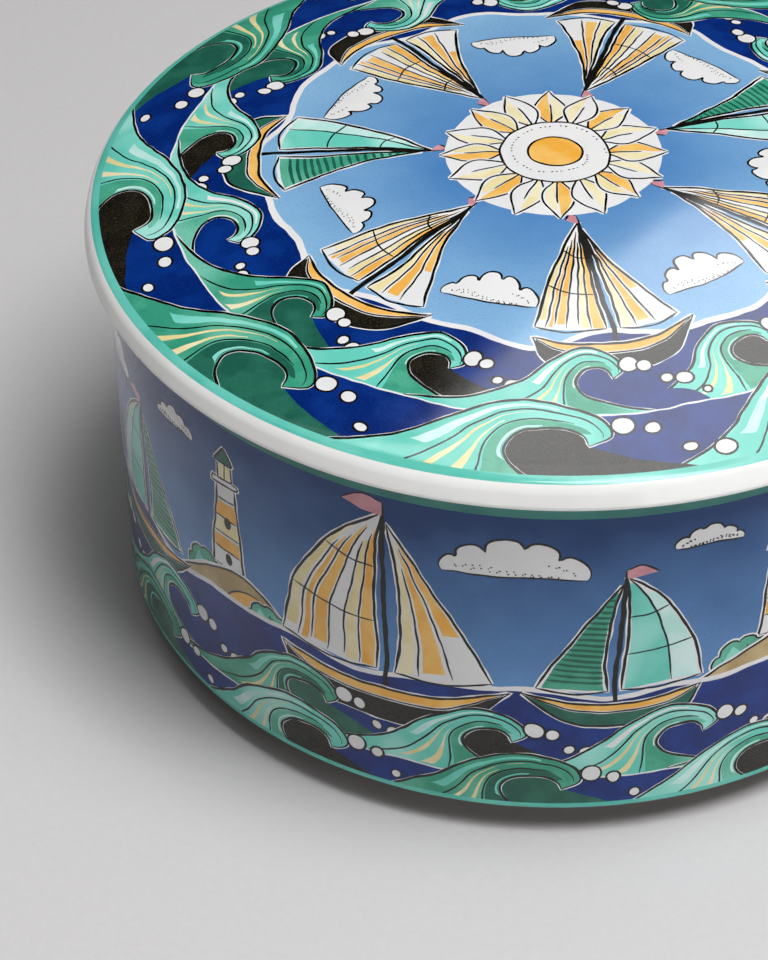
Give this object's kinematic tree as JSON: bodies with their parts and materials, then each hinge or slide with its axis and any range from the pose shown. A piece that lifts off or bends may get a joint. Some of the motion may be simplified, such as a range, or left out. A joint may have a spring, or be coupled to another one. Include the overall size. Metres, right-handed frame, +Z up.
{
  "type": "lidded porcelain box",
  "caption": "Round porcelain box with a straight wall on a narrow foot ring, and a low crowned lid with a rolled white rim that lifts off.",
  "frame": {"origin": "on the table, at the centre of the foot ring", "axes": "+Z up along the axis of the box; the box is round, so +X and +Y are any two level directions at right angles"},
  "size_m": [0.14, 0.14, 0.0749],
  "materials": {
    "body_glaze": "glossy clear glaze over white porcelain with a printed decor of blues, sea greens, ochre and white; bare foot ring",
    "lid_glaze": "glossy clear glaze over white porcelain, printed decor inside a sea-green line, white rolled rim"
  },
  "bodies": {
    "box": {"box_body": "body_glaze"},
    "lid": {"lid": "lid_glaze"}
  },
  "joints": [
    {"name": "lid_lift", "type": "slide", "parent": "box", "child": "lid", "axis": [0, 0, 1], "range_m": [0, 0.12]}
  ]
}
